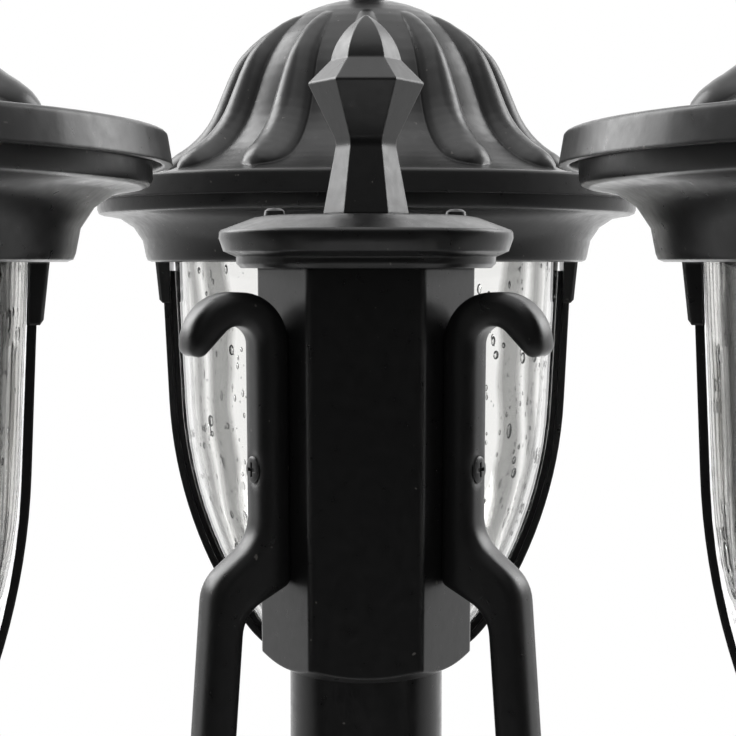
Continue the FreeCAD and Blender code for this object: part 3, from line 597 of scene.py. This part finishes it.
def seeds(head, place):
    """Bubbles inside the wall of a bowl, drawn out along its height. They follow the wall without the
    rounding at its foot, so the lowest of them, in its last 9 mm or so, lie outside the glass."""
    chance = random.Random("seeds " + head)
    middle = moved_out(spaced(rounded(GLASS_SIDE, GLASS_STEP), SEED_ROW_GAP), -GLASS_WALL / 2)
    ball_verts, ball_faces = unit_ball()
    verts, faces = [], []
    for _ in range(SEEDS):
        i = chance.randrange(SEED_ROWS_OFF[0], len(middle) - SEED_ROWS_OFF[1])
        r, z = middle[i]
        angle = chance.uniform(0, 2 * math.pi)
        size = min(SEED_MOST, SEED_LEAST + chance.expovariate(SEED_RATE))
        length = size * chance.uniform(*SEED_STRETCH)
        deep = min(size, SEED_DEEPEST)
        way = unit(middle[i - 1], middle[i + 1])
        depth = chance.uniform(-1, 1) * (GLASS_WALL / 2 - deep - SEED_COVER)
        out = Vector((math.cos(angle), math.sin(angle), 0))
        side = Vector((-math.sin(angle), math.cos(angle), 0))
        down = out * way[0] + Vector((0, 0, way[1]))
        normal = down.cross(side).normalized()
        centre = out * r + Vector((0, 0, z)) + normal * depth
        base = len(verts)
        for v in ball_verts:
            verts.append(tuple((centre + side * v.x * size + down * v.y * length + normal * v.z * deep) * MM))
        faces += [[base + k for k in f] for f in ball_faces]
    piece = new_piece("seeds_" + head, verts, faces, NO_CREASE)
    piece.data.transform(Matrix.Translation(place))
    return piece


def recess(angle):
    """How far a cross-shaped recess reaches from its middle, in one direction."""
    along, across = sorted((abs(math.cos(angle)), abs(math.sin(angle))), reverse=True)
    return min(RECESS_REACH / along, RECESS_HALF_WIDTH / max(across, 1e-6))


def screw(name, outline, top, out):
    """A cross-head screw whose head looks along out, and whose outline's z = 0 comes to top."""

    def shape(i, c):
        angle = 2 * math.pi * c / SCREW_COLUMNS
        r, z = outline[i]
        return angle, r * recess(angle) if i < RECESS_ROWS else r, z

    piece = lathe(name, outline, SCREW_COLUMNS, shape)
    piece.data.transform(Matrix.Translation(top) @ out.to_track_quat("Z", "Y").to_matrix().to_4x4())
    return piece


def screws():
    """Each screw of the arms and the cap, after the name of the CAD node that it stands for."""
    low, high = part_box("arm_screws")
    for head in HEADS:
        place = lantern_place(head)
        out = Vector((place.x, place.y, 0)).normalized()
        at = out * high.y + Vector((0, 0, (low.z + high.z) / 2))
        yield "arm_screws", screw("arm_screw_" + head, ARM_SCREW, at, out)
    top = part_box("cap_screws")[1].z
    up = Vector((0, 0, 1))
    for i in range(CAP_SCREWS):
        turn = math.radians(CAP_SCREW_TURN + 360 / CAP_SCREWS * i)
        at = Vector((math.cos(turn), math.sin(turn), 0)) * CAP_SCREW_OUT * MM + up * top
        yield "cap_screws", screw(f"cap_screw_{i}", CAP_SCREW, at, up)


def build():
    """Gives each CAD node its material, and sets the scene's own pieces in place of some of them."""
    paint = black_paint("black_powder_coat", SOFT_EDGE)
    arm_paint = black_paint("black_powder_coat_soft", ARM_EDGE)
    screw_paint = black_paint("black_screw_coat", SCREW_EDGE)
    looks = {
        "black_paint": paint,
        "seeded_glass": seeded_glass(),
        "bulb_glass": bulb_glass(),
        "nickel_cap": metal(
            "nickel_cap", (0.62, 0.6, 0.55, 1), (0.74, 0.72, 0.67, 1), (0.2, 0.34), (1, 1, 8)
        ),
        "steel": metal("zinc_steel", grey(0.42), (0.58, 0.58, 0.57, 1), (0.28, 0.45), (1, 1, 6)),
        "rubber": dull("rubber", grey(0.018), grey(0.032), (0.7, 0.85), 500),
        "black_plastic": dull("phenolic", grey(0.02), (0.04, 0.039, 0.038, 1), (0.35, 0.5), 700),
    }
    for name, piece in frame["nodes"].items():
        piece.data.materials.clear()
        piece.data.materials.append(looks[SLOTS[name]])
    per_head = [f"{kind}_{head}" for head in HEADS for kind in SMOOTHED_PER_HEAD]
    for name in [*SMOOTHED, *per_head]:
        look = arm_paint if name.startswith("arm_") else looks[SLOTS[name]]
        smoothed(name).data.materials.append(look)
    for name, piece in screws():
        stand_for(piece, name)
        piece.data.materials.append(screw_paint)
    roof, glass = roof_shell(), glass_bowl()
    air = bubble_air()
    for head in HEADS:
        place = lantern_place(head)
        # The lobes line up with the lantern's arm, and the glass's painted reflection bands with the camera
        for kind, template, faces in (("roof", roof, place), ("glass", glass, Vector(CAMERA_AT) - place)):
            piece = place_object(f"{kind}_{head}_skin", template.data.copy())
            turn = Matrix.Rotation(math.atan2(faces.y, faces.x), 4, "Z")
            piece.data.transform(Matrix.Translation(place) @ turn)
            name = f"{kind}_{head}"
            stand_for(piece, name)
            piece.data.materials.append(looks[SLOTS[name]])
        bubbles = seeds(head, place)
        bubbles.data.materials.append(air)
        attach(bubbles, "post")
    for template in (roof, glass):
        bpy.data.objects.remove(template)


# Stage


def lamp(name, at, aim, size, power):
    """A soft rectangular lamp."""
    light = bpy.data.lights.new(name, "AREA")
    light.shape = "RECTANGLE"
    light.size, light.size_y = size
    light.energy = power
    holder = place_object(name, light)
    holder.location = at
    holder.rotation_euler = (Vector(aim) - Vector(at)).to_track_quat("-Z", "Y").to_euler()


def backdrop():
    """A world that is white to the eye and even on matt surfaces. Gloss sees it darker on the camera's
    side, and glass sees it dimmer there and to the sides."""
    world = bpy.data.worlds.new("studio")
    bpy.context.scene.world = world
    world.use_nodes = True
    tree = world.node_tree
    tree.nodes.clear()
    place = add_node(tree, "ShaderNodeTexCoord")
    parts = add_node(tree, "ShaderNodeSeparateXYZ")
    tree.links.new(place.outputs["Generated"], parts.inputs["Vector"])

    def level(axis, span, strengths):
        return ramp(tree, parts.outputs[axis], span, strengths)

    def sky(strength):
        made = add_node(tree, "ShaderNodeBackground", Color=WHITE)
        feed(tree, strength, made.inputs["Strength"])
        return made.outputs[0]

    gloss = level(*GLOSS_LEVEL)
    for extra in GLOSS_EXTRA:
        gloss = maths(tree, "ADD", gloss, level(*extra))
    path = add_node(tree, "ShaderNodeLightPath")
    seen = blended(tree, path.outputs["Is Glossy Ray"], sky(MATT_LEVEL), sky(gloss))
    seen = blended(tree, path.outputs["Is Transmission Ray"], seen, sky(level(*GLASS_LEVEL)))
    seen = blended(tree, path.outputs["Is Camera Ray"], seen, sky(1.0))
    out = add_node(tree, "ShaderNodeOutputWorld")
    tree.links.new(seen, out.inputs["Surface"])


def floor():
    """A pale round floor that keeps the shadow and fades into the white around it."""
    made, tree, shader = material("studio_floor", Roughness=0.8)
    grain = noise(tree, scale=3, detail=3)
    tint = mixed(tree, grain, grey(0.8), grey(0.84))
    tree.links.new(tint, shader.inputs["Base Color"])
    glow = add_node(tree, "ShaderNodeEmission", Strength=1.0)
    place = add_node(tree, "ShaderNodeTexCoord")
    reach = add_node(tree, "ShaderNodeVectorMath", operation="LENGTH")
    tree.links.new(place.outputs["Object"], reach.inputs[0])
    fade = ramp(tree, reach.outputs["Value"], FLOOR_FADE, (0, 1))
    surface = blended(tree, fade, shader.outputs[0], glow.outputs[0])
    tree.links.new(surface, tree.nodes["Material Output"].inputs["Surface"])
    bm = bmesh.new()
    bmesh.ops.create_circle(bm, cap_ends=True, segments=96, radius=FLOOR_RADIUS)
    mesh = bpy.data.meshes.new("floor")
    bm.to_mesh(mesh)
    bm.free()
    mesh.materials.append(made)
    piece = place_object("floor", mesh)
    piece.location.z = -FLOOR_DROP


def camera():
    """The photograph's view: level with the lanterns, a little downwards, its lens fitted to the photo."""
    view = bpy.data.cameras.new("camera")
    view.sensor_width = SENSOR_WIDTH
    view.lens = FOCAL_PIXELS / PHOTO_SIZE * view.sensor_width
    view.clip_start, view.clip_end = CAMERA_CLIP
    holder = place_object("camera", view)
    holder.location = CAMERA_AT
    holder.rotation_euler = (math.pi / 2 - CAMERA_DIP, 0, 0)
    bpy.context.scene.camera = holder


build()
backdrop()
floor()
camera()
for each in LAMPS:
    lamp(*each)
bpy.context.scene.view_settings.view_transform = "Standard"
